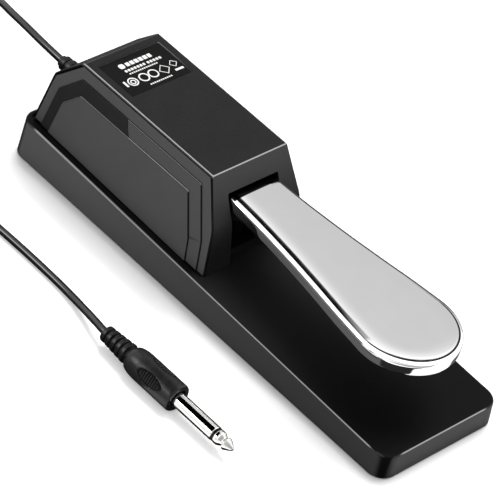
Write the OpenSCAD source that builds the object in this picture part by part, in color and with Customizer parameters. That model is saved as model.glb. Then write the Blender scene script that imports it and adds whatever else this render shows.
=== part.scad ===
// Sustain pedal in the shape of a piano pedal, with its cord and 6.35 mm plug.
// Millimetres, +Z up, +Y towards the rear. The pedal stands on z = 0, centred on the origin.

/* [Base] */
// Length of the base at the floor
base_len = 219; // [212:1:226]
// Width of the base at its front end
base_w_front = 65.8; // [64.8:0.2:68]
// Width of the base at its rear end
base_w_rear = 64; // [63.2:0.2:67]
// Height of the base's top at the front end
base_h_front = 11; // [10.6:0.1:12]
// Height of the base's top at the rear end
base_h_rear = 17.8; // [17.5:0.1:18.1]
// Radius of the base's upright corners
base_corner_r = 7; // [5:0.5:9]
// Wall thickness of the base and of the housing
wall = 2.2; // [1.8:0.1:2.4]

/* [Housing] */
// Height of the housing's flat top above the floor
housing_h = 53.2; // [53.2:0.1:55]
// Depth of the side panel's seat in the housing's side
cheek_t = 2; // [1.6:0.1:2.2]
// Height of each step on a side panel
step_h = 0.5; // [0.3:0.1:0.8]
// Half the width of the lever's opening at its top
slot_hw = 13.7; // [13:0.1:14]

/* [Pedal lever] */
// Radius of the lever's round foot end
foot_r = 22.8; // [22:0.2:24]
// Half the width of the lever where it enters the housing
neck_hw = 12.9; // [12.7:0.1:13]
// Depth of the lever's turned-down rim
rim_h = 5.9; // [5.5:0.1:6]
// Radius of the lever's rolled top edge
roll_r = 2; // [1.4:0.1:2.4]
// Slope of the released lever, rising towards the rear, in degrees
rest_tilt = 1; // [0.8:0.1:1.2]
// Radius of the pivot pin
pin_r = 2; // [1.6:0.1:2.2]

/* [Cord and plug] */
// Diameter of the cord
cord_d = 3.2; // [2.8:0.1:3.4]
// Radius of the plug's sleeve
sleeve_r = 3.175; // [3.175]
// Radius of the plug's handle
handle_r = 6.1; // [5.8:0.1:6.3]

/* [Hidden] */
$fn = 48;

// Base
rim_z = 0.5;                       // bottom edge of the base's side walls
draft = 0.5;                       // how far the side walls lean in
base_edge = 0.8;                   // bevel round the base's top
base_tilt = atan((base_h_rear - base_h_front) / base_len);
plate_z = 1.5;                     // underside of the steel plate
plate_t = 1.6;
deck_z = 18.4;                     // flat deck inside the housing
deck_hw = 22;
deck_y = [4.7, 100];
housing_posts = [[-18.9, 12], [18.9, 12], [-18.9, 84], [18.9, 84]];
plate_posts = [[-24, -96], [24, -96], [-24, -32], [24, -32]];
rib_y = [-80, -58, -14];

// Housing: half width at height z, and the side view's outline as [y, z] corners with radii
draft_k = 0.176;
hw_foot = 28;
foot_z = 10;
lip = 0.9;                         // the shell's edge that frames each side panel
side_view = [[0, foot_z], [4.9, 33.2], [15.3, housing_h], [91.9, housing_h], [103.7, 40.7],
             [106.6, foot_z]];
side_radii = [0, 14, 0.8, 2, 3, 0];
step1_view = [[5.2, 14], [8.4, 26.6], [18.7, 47.2], [89.3, 47.2], [98.9, 36.4], [101.2, 14]];
step2_view = [[11.5, 14], [14.3, 24.2], [22.7, 41.1], [86.9, 41.1], [94.4, 32.7], [96.4, 14]];
step_radii = [0, 10, 1, 1.5, 1.5, 0];
trim_t = 0.3;
trim_end = 60.5;                   // where the dark strip stops along the top
label_size = [32, 20, 0.4];
label_at = [0, 77.4];

// Lever and pivot
pivot = [82, 38];                  // [y, z] of the pivot pin
lever_top = 44.7;                  // the lever's top plane, level with the pivot
foot_y = -77;                      // centre of the round end
neck_y = 6;
// The lever's flare: distance along it, and how much its half width has grown from the neck's
flare = [[neck_y, 0], [-10, 1.3], [-30, 3.45], [-46, 5.6], [-60, 7.9]];
lever_rear = 34;
lever_skin = 2;
carrier_hw = 9.3;
carrier_z = [37.2, lever_top - lever_skin - 0.05];
carrier_front = -12;
ear_x = [10.2, 12.2];
lever_screw_y = [-5, 26];
spring_y = 38;
spring_r = 5.3;
spring_wire = 0.7;
spring_z = [deck_z + 0.05, 35.1];
down_stop_y = 15;
up_stop_y = 28;

// Electrics
board = [32, 24, 1.6];
board_y = 58;
board_z = 20.4;
switch_y = 60;
plunger_top = 35.5;
polarity_at = [14.5, 25.3];        // [x, z] of the polarity switch
knob_throw = 3.5;
exit_z = 25.3;                     // height of the cord's exit
boot_y = [99, 121];
clamp_y = [90.5, 95.5];

// Cord: points of the stretch from the boot to the coil, and from the coil to the plug
rear_route = [[0, 121, 25.3], [0.3, 127, 25.2], [1.2, 137, 24.8], [2.6, 147, 24], [4.4, 157, 22.6],
              [6.8, 167, 20.6], [8.8, 177, 17.6], [9.4, 188, 13.8], [7.5, 199, 9.8], [2.5, 208, 6.4],
              [-6, 214.5, 3.8], [-17, 217, 2.3], [-29, 215, 1.8], [-41, 209, 1.7], [-52, 200, 1.7],
              [-61, 189, 1.7], [-67.5, 177, 1.7], [-71, 165, 1.8], [-72.2, 154, 2.1]];
front_route = [[-72.2, 148, 11.8], [-72.2, 140, 11.2], [-72.2, 132, 8.8], [-72.2, 124, 5.8],
               [-72, 116, 3.2], [-71.5, 107, 1.9], [-70.8, 96, 1.7], [-69.8, 84, 1.7],
               [-69.2, 73, 1.7], [-68.9, 60, 1.7], [-68.9, 48, 1.7], [-69.2, 37, 1.8],
               [-70.2, 27, 2.4], [-72.2, 17, 3.9], [-74.3, 9, 5.6], [-75.3, 3.2, 6.1]];
coil_at = [-50, 148];
coil_r = 19;                       // mean radius of the coil's turns
coil_hw = 5.2;                     // half the width of the wound section
coil_z = [0.55, 13.7];
plug_at = [-75.3, 3.2, 6.1];       // rear end of the plug, on its axis
plug_z = [0, 15.8, 41.9, 63.3, 64.5, 68.5, 69.4, 73.2];

black = [0.11, 0.11, 0.12];
grey = [0.29, 0.29, 0.3];
steel = [0.72, 0.72, 0.74];
chrome = [0.85, 0.85, 0.87];
rubber = [0.06, 0.06, 0.06];

// ---------- helpers ----------

function unit(v) = v / norm(v);
function base_top(y) = base_h_front + (y + base_len / 2) * tan(base_tilt);
function half_w(z) = hw_foot - draft_k * (z - foot_z);

// Points of a corner b between a and c, rounded with radius r in n steps
function fillet(a, b, c, r, n) =
    r <= 0 ? [b] :
    let (u = unit(a - b), v = unit(c - b), half = acos(u * v) / 2,
         m = b + unit(u + v) * r / sin(half),
         s = b + u * r / tan(half) - m, e = b + v * r / tan(half) - m,
         from = atan2(s[1], s[0]), sweep = (atan2(e[1], e[0]) - from + 540) % 360 - 180)
    [for (i = [0:n]) m + r * [cos(from + sweep * i / n), sin(from + sweep * i / n)]];

// A closed outline whose corners p take the radii r
function rounded(p, r, n = 5) =
    let (k = len(p))
    [for (i = [0:k - 1]) each fillet(p[(i + k - 1) % k], p[i], p[(i + 1) % k], r[i], n)];

// Side-view outline (y, z) drawn through the whole width
module through_x(width = 80) {
    rotate([90, 0, 90]) linear_extrude(width, center = true) children();
}

// Front-view outline (x, z) drawn from y0 to y1
module along_y(y0, y1) {
    translate([0, y1, 0]) rotate([90, 0, 0]) linear_extrude(y1 - y0) children();
}

// Slab that follows a side wall: side is -1 or 1, from out outwards to in inwards
module side_slab(side, out, in) {
    z0 = foot_z - 2;
    z1 = housing_h;
    along_y(-5, 112) polygon([[side * (half_w(z0) + out), z0], [side * (half_w(z1) + out), z1],
                              [side * (half_w(z1) + in), z1], [side * (half_w(z0) + in), z0]]);
}

// Everything above the base's sloping top
module above_base(gap = 0) {
    translate([0, 0, base_top(0) + gap]) rotate([base_tilt, 0, 0])
        translate([-60, -150, 0]) cube([120, 300, 100]);
}

// Plan outline of the base, inset by d
module base_plan(d, r) {
    f = base_w_front / 2 - d;
    b = base_w_rear / 2 - d;
    e = base_len / 2 - d;
    polygon([[-f + r, -e], [f - r, -e], [f, -e + r], [b, e - r], [b - r, e], [-b + r, e],
             [-b, e - r], [-f, -e + r]]);
    for (s = [-1, 1]) {
        translate([s * (f - r), -e + r]) circle(r);
        translate([s * (b - r), e - r]) circle(r);
    }
}

// The base's wedge: z0 to the sloping top, inset by d and lowered by drop, with a bevelled edge
module base_wedge(z0, d, drop, r, edge) {
    hull() for (sx = [-1, 1], sy = [-1, 1]) {
        hw = (sy < 0 ? base_w_front : base_w_rear) / 2 - d;
        e = base_len / 2 - d;
        translate([sx * (hw - r), sy * (e - r), z0]) cylinder(h = 0.2, r = r, $fn = 40);
        translate([sx * (hw - r - draft), sy * (e - r - draft), base_top(sy * (e - r - draft)) - drop])
            rotate([base_tilt, 0, 0]) {
                translate([0, 0, -edge]) cylinder(h = edge, r1 = r, r2 = r - edge, $fn = 40);
                translate([0, 0, -edge * 0.45])
                    cylinder(h = 0.01, r = r - edge * 0.25, $fn = 40);
            }
    }
}

// Pan-head screw, its head's underside at z = 0, its shaft going up
module screw(shaft_r, length, head_r, head_h) {
    cylinder(h = length, r = shaft_r, $fn = 24);
    difference() {
        translate([0, 0, -head_h]) cylinder(h = head_h, r = head_r, $fn = 32);
        for (a = [0, 90]) rotate([0, 0, a])
            translate([-head_r * 0.6, -0.3, -head_h - 1]) cube([head_r * 1.2, 0.6, head_h * 0.5 + 1]);
    }
}

// Solid swept along the points p: n sides, radius r
function heading(p, i) = unit(p[min(i + 1, len(p) - 1)] - p[max(i - 1, 0)]);
function ring(c, t, r, n) =
    let (u = unit(cross(t, [0, 0, 1])), v = cross(u, t))
    [for (k = [0:n - 1]) c + r * (cos(360 * k / n) * u + sin(360 * k / n) * v)];
module swept(p, r, n) {
    last = len(p) - 1;
    polyhedron(points = [for (i = [0:last]) each ring(p[i], heading(p, i), r, n)],
               faces = [[for (k = [0:n - 1]) k],
                        for (i = [0:last - 1], k = [0:n - 1])
                            [i * n + k, (i + 1) * n + k, (i + 1) * n + (k + 1) % n,
                             i * n + (k + 1) % n],
                        [for (k = [n - 1:-1:0]) last * n + k]]);
}

// The lever at rest slopes about the pivot
module in_lever_frame() {
    translate([0, pivot[0], pivot[1]]) rotate([rest_tilt, 0, 0])
        translate([0, -pivot[0], -pivot[1]]) children();
}

// The plug lies along -Y: local z runs from the cord to the tip
module in_plug_frame() {
    translate(plug_at) rotate([90, 0, 0]) children();
}

// ---------- base ----------

module foot_outline(d) {
    f = half_w(base_top(1)) + d;
    b = half_w(base_top(105)) + d;
    polygon(rounded([[-f, 1 - d], [f, 1 - d], [b, 105.9 + d], [-b, 105.9 + d]],
                    [0, 0, 2 + d, 2 + d]));
}

// Shadow gap in the base round the housing's foot
module foot_groove() {
    translate([0, 0, base_top(0)]) rotate([base_tilt, 0, 0]) translate([0, 0, -1.2])
        linear_extrude(3) difference() {
            foot_outline(1.4);
            foot_outline(0);
            translate([-40, -20]) square([80, 22]);
        }
}

module base_shell() {
    color(black) difference() {
        union() {
            difference() {
                base_wedge(rim_z, 0, 0, base_corner_r, base_edge);
                base_wedge(-1, wall, wall, base_corner_r - wall, 0.5);
            }
            translate([-deck_hw, deck_y[0], 13]) cube([2 * deck_hw, deck_y[1] - deck_y[0], deck_z - 13]);
            for (p = housing_posts) translate([p[0], p[1], plate_z + plate_t + 0.05])
                cylinder(h = deck_z - plate_z - plate_t - 1, r = 3.2);
            for (p = plate_posts) translate([p[0], p[1], plate_z + plate_t + 0.05])
                cylinder(h = base_top(p[1]) - plate_z - plate_t - 1, r = 3);
            for (y = rib_y) translate([-29, y, plate_z + plate_t + 1])
                cube([58, 1.4, base_top(y) - plate_z - plate_t - 2]);
            translate([0, spring_y, deck_z - 1]) cylinder(h = 4, r = 3.9);
            translate([0, down_stop_y, deck_z - 1]) cylinder(h = 8, r = 4.4);
            for (x = [-11, 11], y = [-9, 9]) translate([x, board_y + y, deck_z - 1])
                cylinder(h = board_z - deck_z + 1, r = 2.2);
        }
        difference() {
            translate([-deck_hw + 1.8, deck_y[0] + 1.8, 10])
                cube([2 * deck_hw - 3.6, deck_y[1] - deck_y[0] - 3.6, deck_z - 2 - 10]);
            for (p = housing_posts) translate([p[0], p[1], 0]) cylinder(h = 30, r = 3.2);
            for (x = [-6, 6], y = [75, 86]) translate([x, y, 10]) cylinder(h = 20, r = 2.6);
        }
        for (p = housing_posts) translate([p[0], p[1], 0]) cylinder(h = 30, r = 1.6);
        for (p = plate_posts) translate([p[0], p[1], 0]) cylinder(h = base_top(p[1]) - 2, r = 1.5);
        for (x = [-11, 11], y = [-9, 9]) translate([x, board_y + y, 12]) cylinder(h = 12, r = 1.05);
        for (x = [-6, 6], y = [75, 86]) translate([x, y, 12]) cylinder(h = 12, r = 1.3);
        for (x = [-4.6, 4.6]) translate([x, 93, 12]) cylinder(h = 12, r = 1.05);
        foot_groove();
    }
}

module base_plate() {
    color(steel) difference() {
        translate([0, 0, plate_z]) linear_extrude(plate_t) base_plan(wall + 0.5, base_corner_r - wall);
        for (p = concat(housing_posts, plate_posts)) translate([p[0], p[1], 0]) cylinder(h = 5, r = 1.7);
    }
}

module rubber_mat() {
    color(rubber) difference() {
        linear_extrude(plate_z) base_plan(wall + 0.5, base_corner_r - wall);
        for (p = concat(housing_posts, plate_posts)) translate([p[0], p[1], -1]) cylinder(h = 5, r = 3.6);
    }
}

module plate_screws() {
    color(steel) for (p = plate_posts) translate([p[0], p[1], plate_z]) screw(1.45, 6.2, 2.8, 1);
}

module housing_screws() {
    color(steel) for (p = housing_posts) translate([p[0], p[1], plate_z]) screw(1.45, 26, 2.8, 1);
}

// ---------- housing ----------

module housing_block(d) {
    intersection() {
        through_x() polygon(rounded(side_view, side_radii));
        along_y(-5, 112) polygon([[-half_w(foot_z) - d, foot_z], [half_w(foot_z) + d, foot_z],
                                  [half_w(housing_h - 0.4) + d, housing_h - 0.4],
                                  [half_w(housing_h) - 0.4 + d, housing_h],
                                  [-half_w(housing_h) + 0.4 - d, housing_h],
                                  [-half_w(housing_h - 0.4) - d, housing_h - 0.4]]);
    }
}

// The room inside the housing
module housing_room() {
    zt = housing_h - wall;
    in = cheek_t + 2;
    intersection() {
        through_x() polygon([[0 + wall, 5], [4.9 + wall, 33.2], [15.3 + wall, zt], [91, zt],
                             [101.2, 39.8], [104.6, 5]]);
        along_y(-5, 112) polygon([[-half_w(5) + in, 5], [half_w(5) - in, 5],
                                  [half_w(zt) - in, zt], [-half_w(zt) + in, zt]]);
    }
}

// Side view of a side panel: the housing's outline less the lip
module cheek_view(d) {
    f = 0.6 * lip + 2 * d;
    polygon(rounded([[f, foot_z], [4.9 + f, 33.2], [15.3 + 0.85 * f, housing_h - lip - d],
                     [91.9 - 0.4 * lip - d, housing_h - lip - d], [103.7 - lip - d, 40.7 - 0.45 * lip - d],
                     [106.6 - lip - d, foot_z]], [0, 14, 0.6, 1.6, 2.6, 0]));
}

module lever_opening() {
    along_y(-5, 14) polygon(rounded([[-12.8, 5], [12.8, 5], [13, 24], [slot_hw, 38], [slot_hw, 44.5],
                                     [-slot_hw, 44.5], [-slot_hw, 38], [-13, 24]],
                                    [0, 0, 6, 6, 0.8, 0.8, 6, 6]));
}

module housing_shell() {
    color(black) difference() {
        union() {
            difference() {
                housing_block(0);
                housing_room();
                for (s = [-1, 1]) intersection() {
                    side_slab(s, 5, -cheek_t);
                    through_x() cheek_view(0);
                }
            }
            for (p = housing_posts) translate([p[0], p[1], deck_z + 0.05]) cylinder(h = 13.6, r = 3);
            translate([0, up_stop_y, 46]) cylinder(h = 6, r = 5.4);
            for (x = [-6.9, 5.9]) translate([polarity_at[0] + x, 96, 20]) cube([1, 7.5, 11]);
        }
        for (p = housing_posts) translate([p[0], p[1], deck_z - 1]) cylinder(h = 14, r = 1.5);
        translate([0, up_stop_y, 40]) cylinder(h = housing_h - wall - 40, r = 4.05);
        lever_opening();
        translate([0, 110, exit_z]) rotate([90, 0, 0]) cylinder(h = 15, r = 3.6);
        translate([polarity_at[0] - 3.6, 98, polarity_at[1] - 1.8]) cube([7.2, 12, 3.6]);
        translate([label_at[0] - label_size[0] / 2 - 0.3, label_at[1] - label_size[1] / 2 - 0.3,
                   housing_h - 0.9]) cube([label_size[0] + 0.6, label_size[1] + 0.6, 2]);
        translate([-60, -150, -80]) cube([120, 300, 80 + foot_z]);
        difference() {
            translate([-60, -150, 0]) cube([120, 300, 40]);
            above_base();
        }
    }
}

module label_plate() {
    color([0.08, 0.08, 0.08])
        translate([label_at[0] - label_size[0] / 2, label_at[1] - label_size[1] / 2, housing_h - 0.85])
            cube(label_size);
}

// Side panel with two raised steps; the outer step's rear strip is recessed for the trim
module cheek(side) {
    color(grey) difference() {
        union() {
            intersection() {
                side_slab(side, 0, -cheek_t + 0.05);
                through_x() cheek_view(0.12);
            }
            intersection() {
                side_slab(side, step_h, -0.2);
                through_x() polygon(rounded(step1_view, step_radii));
            }
            intersection() {
                side_slab(side, 2 * step_h, -0.2);
                through_x() polygon(rounded(step2_view, step_radii));
            }
        }
        intersection() {
            side_slab(side, step_h + 0.01, step_h - trim_t);
            through_x() trim_view(0);
        }
        difference() {
            translate([-60, -150, 0]) cube([120, 300, 40]);
            above_base();
        }
    }
}

// The strip between the two steps, from the base round the rear to trim_end
module trim_view(d) {
    difference() {
        polygon(rounded(step1_view, step_radii));
        polygon(rounded(step2_view, step_radii));
        polygon([[-10, 0], [trim_end - 5 + d, 0], [trim_end - 5 + d, 38], [trim_end - 1.7 + d, 42],
                 [trim_end + d, 44.2], [trim_end + 1.7 + d, 48], [trim_end + 1.7 + d, 60], [-10, 60]]);
    }
}

module trim(side) {
    color([0.19, 0.19, 0.2]) intersection() {
        side_slab(side, step_h, step_h - trim_t);
        through_x() trim_view(0.05);
        above_base();
    }
}

// ---------- lever and pivot ----------

// Straight tapering plan inside the lever, from the neck to the round end, inset by d
module lever_hollow(d, z, h) {
    hull() {
        translate([0, foot_y, z]) cylinder(h = h, r = foot_r - d, $fn = 64);
        translate([-neck_hw + d, neck_y - 0.1, z]) cube([2 * (neck_hw - d), 0.1, h]);
    }
}

// The lever's outline seen along it, of half width hw
module lever_profile(hw) {
    polygon(rounded([[-hw, lever_top - rim_h], [hw, lever_top - rim_h], [hw, lever_top], [-hw, lever_top]],
                    [0.4, 0.4, roll_r, roll_r]));
}

module lever_section(i) {
    along_y(flare[i][0] - 0.1, flare[i][0]) lever_profile(neck_hw + flare[i][1]);
}

module lever_disc(d, z, h) {
    translate([0, foot_y, z]) cylinder(h = h, r = foot_r - d, $fn = 64);
}

module lever_body() {
    for (i = [0:len(flare) - 2]) hull() {
        lever_section(i);
        lever_section(i + 1);
    }
    hull() {
        lever_section(len(flare) - 1);
        lever_disc(0, lever_top - rim_h + 0.4, rim_h - 0.4 - roll_r);
        lever_disc(0.4, lever_top - rim_h, 0.1);
        for (a = [30, 60, 90]) lever_disc(roll_r * (1 - cos(a)), lever_top - roll_r * (1 - sin(a)) - 0.01, 0.01);
    }
    along_y(neck_y - 0.1, lever_rear) lever_profile(neck_hw);
}

module pedal_lever() {
    color(chrome) in_lever_frame() difference() {
        lever_body();
        lever_hollow(lever_skin + 0.4, lever_top - rim_h - 1, rim_h + 1 - lever_skin);
        translate([-neck_hw + lever_skin, neck_y - 1, lever_top - rim_h - 1])
            cube([2 * (neck_hw - lever_skin), lever_rear, rim_h + 1 - lever_skin]);
        for (y = lever_screw_y) translate([0, y, lever_top - rim_h]) cylinder(h = rim_h - 0.5, r = 1.5);
    }
}

module lever_carrier() {
    color(black) in_lever_frame() difference() {
        union() {
            translate([-carrier_hw, carrier_front, carrier_z[0]])
                cube([2 * carrier_hw, lever_rear - carrier_front, carrier_z[1] - carrier_z[0]]);
            translate([-carrier_hw, lever_rear - 1, carrier_z[0] - 1.2])
                cube([2 * carrier_hw, pivot[0] - lever_rear + 1, 6]);
            translate([-carrier_hw, pivot[0], pivot[1]]) rotate([0, 90, 0])
                cylinder(h = 2 * carrier_hw, r = 5.4);
            translate([0, spring_y, carrier_z[0] - 3]) cylinder(h = 4, r = 3.9);
        }
        translate([-20, pivot[0], pivot[1]]) rotate([0, 90, 0]) cylinder(h = 40, r = 3.02);
        for (y = lever_screw_y) translate([0, y, 30]) {
            cylinder(h = 20, r = 1.6);
            cylinder(h = carrier_z[0] + 2.2 - 30, r = 3.1);
        }
        for (s = [-1, 1]) translate([s * 5 - 2.5, lever_rear + 12, carrier_z[0] + 1.4])
            cube([5, 26, 6]);
    }
}

module lever_screws() {
    color(steel) in_lever_frame() for (y = lever_screw_y)
        translate([0, y, carrier_z[0] + 2.2]) screw(1.45, 4.6, 2.9, 1.8);
}

module pivot_bushes() {
    color([0.85, 0.84, 0.8]) for (s = [-1, 1]) translate([0, pivot[0], pivot[1]])
        rotate([0, 90 * s, 0]) difference() {
            union() {
                translate([0, 0, 1.5]) cylinder(h = carrier_hw - 1.5, r = 3);
                translate([0, 0, carrier_hw]) cylinder(h = 0.7, r = 4.6);
            }
            cylinder(h = 12, r = pin_r + 0.05);
        }
}

module pivot_pin() {
    color(steel) translate([-15, pivot[0], pivot[1]]) rotate([0, 90, 0]) difference() {
        cylinder(h = 30, r = pin_r);
        for (z = [1.4, 28]) translate([0, 0, z]) difference() {
            cylinder(h = 0.6, r = pin_r + 1);
            cylinder(h = 0.6, r = pin_r - 0.5);
        }
    }
}

module pin_clips() {
    color(steel) for (x = [-13.55, 13.05]) translate([x, pivot[0], pivot[1]]) rotate([0, 90, 0])
        difference() {
            cylinder(h = 0.5, r = 3.8);
            translate([0, 0, -1]) cylinder(h = 3, r = pin_r - 0.45);
            translate([-0.8, 0, -1]) cube([1.6, 5, 3]);
        }
}

module pivot_bracket() {
    color(steel) difference() {
        union() {
            translate([-ear_x[1], 72, deck_z + 0.02]) cube([2 * ear_x[1], 17, 2]);
            for (x = [-ear_x[1], ear_x[0]]) translate([x, 0, 0])
                rotate([90, 0, 90]) linear_extrude(ear_x[1] - ear_x[0]) {
                    polygon([[73, deck_z + 0.5], [89, deck_z + 0.5], [pivot[0] + 6, pivot[1]],
                             [pivot[0] - 6, pivot[1]]]);
                    translate(pivot) circle(6);
                }
        }
        translate([-20, pivot[0], pivot[1]]) rotate([0, 90, 0]) cylinder(h = 40, r = pin_r + 0.02);
        for (x = [-6, 6], y = [75, 86]) translate([x, y, deck_z - 1]) cylinder(h = 5, r = 1.5);
    }
}

module bracket_screws() {
    color(steel) for (x = [-6, 6], y = [75, 86]) translate([x, y, deck_z + 2.05])
        mirror([0, 0, 1]) screw(1.25, 8, 2.4, 1.4);
}

// Closed coil at each end, open turns between
module return_spring() {
    turns = 8;
    steps = 18;
    p_end = 2 * spring_wire + 0.06;
    z0 = spring_z[0] + spring_wire;
    rise = spring_z[1] - spring_z[0] - 2 * spring_wire;
    p_mid = (rise - 2 * p_end) / (turns - 2);
    pts = [for (i = [0:turns * steps])
               let (t = i / steps,
                    z = t < 1 ? t * p_end : t > turns - 1 ? rise - (turns - t) * p_end
                                          : p_end + (t - 1) * p_mid)
               [spring_r * cos(360 * t), spring_y + spring_r * sin(360 * t), z0 + z]];
    color(steel) swept(pts, spring_wire, 8);
}

module down_stop() {
    color(rubber) translate([0, down_stop_y, deck_z + 7.02]) cylinder(h = 4.2, r = 4.6);
}

module up_stop() {
    color(rubber) translate([0, up_stop_y, 44.1]) cylinder(h = housing_h - wall - 44.15, r = 4);
}

// ---------- electrics ----------

module circuit_board() {
    color([0.1, 0.35, 0.18]) difference() {
        translate([-board[0] / 2, board_y - board[1] / 2, board_z + 0.02]) cube(board);
        for (x = [-11, 11], y = [-9, 9]) translate([x, board_y + y, 15]) cylinder(h = 12, r = 1.2);
    }
}

module board_screws() {
    color(steel) for (x = [-11, 11], y = [-9, 9]) translate([x, board_y + y, board_z + board[2] + 0.04])
        mirror([0, 0, 1]) screw(1, 7, 1.9, 1.1);
}

module microswitch() {
    z0 = board_z + board[2] + 0.04;
    color([0.14, 0.14, 0.16]) difference() {
        translate([-3.2, switch_y - 10, z0]) cube([6.4, 20, 10.2]);
        translate([0, switch_y, z0 + 4]) cylinder(h = 10, r = 1.6);
        for (y = [-5, 5]) translate([-5, switch_y + y, z0 + 3]) rotate([0, 90, 0]) cylinder(h = 10, r = 1.1);
    }
}

module switch_plunger() {
    color([0.8, 0.2, 0.15]) translate([0, switch_y, 0]) {
        translate([0, 0, 29]) cylinder(h = plunger_top - 29 - 0.4, r = 1.5);
        translate([0, 0, plunger_top - 0.4]) cylinder(h = 0.4, r1 = 1.5, r2 = 1.1);
    }
}

module polarity_switch() {
    color(steel) difference() {
        translate([polarity_at[0] - 5.85, 95.5, polarity_at[1] - 3.6]) cube([11.7, 6.4, 7.2]);
        translate([polarity_at[0] - 3.6, 98.5, polarity_at[1] - 1.7]) cube([7.2, 5, 3.4]);
    }
}

module polarity_knob() {
    color(black) translate([polarity_at[0] - knob_throw / 2 - 1.5, 99, polarity_at[1] - 1.5]) {
        cube([3, 7.6, 3]);
        for (x = [0.5, 1.7]) translate([x, 7.5, 0]) cube([0.6, 0.5, 3]);
    }
}

module cable_clamp() {
    color(black) difference() {
        translate([-6.6, clamp_y[0], deck_z + 0.02]) cube([13.2, clamp_y[1] - clamp_y[0], 10.4]);
        translate([0, clamp_y[1] + 1, exit_z]) rotate([90, 0, 0]) cylinder(h = 9, r = cord_d / 2 + 0.03);
        for (x = [-4.6, 4.6]) translate([x, 93, 10]) {
            cylinder(h = 20, r = 1.2);
            translate([0, 0, 11.5]) cylinder(h = 20, r = 2);
        }
    }
}

module clamp_screws() {
    color(steel) for (x = [-4.6, 4.6]) translate([x, 93, 21.55])
        mirror([0, 0, 1]) screw(1, 7, 1.85, 1.1);
}

// Two wires from the cord and two from the polarity switch, all to the board
module signal_wires() {
    y1 = board_y + 8;
    wz = board_z + board[2] + 0.7;
    color([0.6, 0.1, 0.1]) for (s = [-1, 1])
        swept([[s * 0.8, 88.8, exit_z], [s * 1, 86, exit_z - 0.6], [s * 1.6, 82, 23.4],
               [s * 2, 77, 22.9], [s * 3.5, 71, wz + 0.4], [s * 5, y1, wz]], 0.6, 8);
    color([0.85, 0.85, 0.8]) for (s = [0, 1])
        swept([[13.6 + s * 1.6, 95.4, 26.2], [13.6 + s * 1.5, 92, 25.6], [13.6 + s * 1.3, 84, 24.2],
               [13.6 + s * 1.3, 76, 23.4], [13.6 + s * 1.3, 70, wz + 0.3], [13.6 + s * 1.3, 62, wz]],
              0.6, 8);
}

// ---------- cord and plug ----------

// Ribbed strain relief; local z runs outwards along the cord
module boot_profile(stations) {
    rotate_extrude() polygon(stations);
}

module cord_boot() {
    y0 = boot_y[0];
    in_r = cord_d / 2 + 0.03;
    last = boot_y[1] - y0;
    ribs = [for (i = [0:3]) let (z = 8.4 + 3.3 * i, r = 4.2 - 0.32 * i) each [[r, z], [r, z + 2.1],
            [r - 0.8, z + 2.3], [r - 0.85, z + 3.1]]];
    color(rubber) translate([0, y0, exit_z]) rotate([-90, 0, 0])
        boot_profile(concat([[in_r, 0], [4.8, 0], [4.8, 2], [3.5, 2.4], [3.5, 7.4], [4.4, 7.6]],
                            ribs, [[2.4, last], [in_r, last]]));
}

module cord_entry() {
    color(rubber) translate([0, boot_y[1], exit_z]) rotate([90, 0, 0])
        cylinder(h = boot_y[1] - 89.5, r = cord_d / 2);
}

module cord_rear() {
    color(rubber) swept(rear_route, cord_d / 2, 8);
}

module cord_front() {
    color(rubber) swept(front_route, cord_d / 2, 8);
}

module cord_coil() {
    r0 = coil_r - coil_hw;
    r1 = coil_r + coil_hw;
    color(rubber) translate([coil_at[0], coil_at[1], 0]) rotate_extrude($fn = 64)
        polygon(rounded([[r0, coil_z[0]], [r1, coil_z[0]], [r1, coil_z[1]], [r0, coil_z[1]]],
                        [1.5, 1.5, 1.5, 1.5]));
}

module cord_tie() {
    w = 2 * coil_hw + 0.1;
    h = coil_z[1] - coil_z[0] + 0.1;
    color(black) translate([coil_at[0], coil_at[1], coil_z[0] - 0.05]) rotate([0, 0, 30])
        translate([coil_r, 0, 0]) difference() {
            translate([-w / 2 - 0.8, -3.5, -0.45]) cube([w + 1.6, 7, h + 1.25]);
            translate([-w / 2, -4, 0]) cube([w, 8, h]);
        }
}

module plug_boot() {
    ribs = [for (i = [0:4]) let (z = 2.9 * i + 0.6, r = 3.45 + 0.22 * i) each [[r - 0.2, z - 0.3],
            [r, z], [r + 0.1, z + 1.6], [r - 0.75, z + 1.8], [r - 0.75, z + 2.4]]];
    color(rubber) in_plug_frame()
        boot_profile(concat([[0, 0], [2.6, 0]], ribs, [[4.2, plug_z[1]], [0, plug_z[1]]]));
}

// Handle with an oval ribbed grip on four sides
module plug_handle() {
    z0 = plug_z[1];
    z1 = plug_z[2];
    nose = [for (i = [0:6]) [4.6 + (handle_r - 4.6) * sin(15 * i), z0 + 7 * (1 - cos(15 * i))]];
    color(black) in_plug_frame() difference() {
        rotate_extrude() polygon(concat([[0, z0]], nose, [[handle_r, z1 - 1], [handle_r - 0.6, z1],
                                                         [3.9, z1], [3.9, z1 - 1], [0, z1 - 1]]));
        for (a = [45:90:315], i = [-5:5])
            rotate([0, 0, a]) translate([handle_r - 0.35, -2.6 * sqrt(1 - i * i / 36), z0 + 14 + i * 1.15])
                cube([1, 5.2 * sqrt(1 - i * i / 36), 0.6]);
        translate([0, 0, z1 - 6]) cylinder(h = 10, r = sleeve_r - 0.37);
    }
}

module plug_sleeve() {
    color(chrome) in_plug_frame() difference() {
        union() {
            translate([0, 0, plug_z[2] - 6]) cylinder(h = 7, r = sleeve_r - 0.4);
            translate([0, 0, plug_z[2]]) cylinder(h = plug_z[3] - plug_z[2], r = sleeve_r);
        }
        translate([0, 0, plug_z[2] - 7]) cylinder(h = 40, r = 2.1);
    }
}

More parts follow.
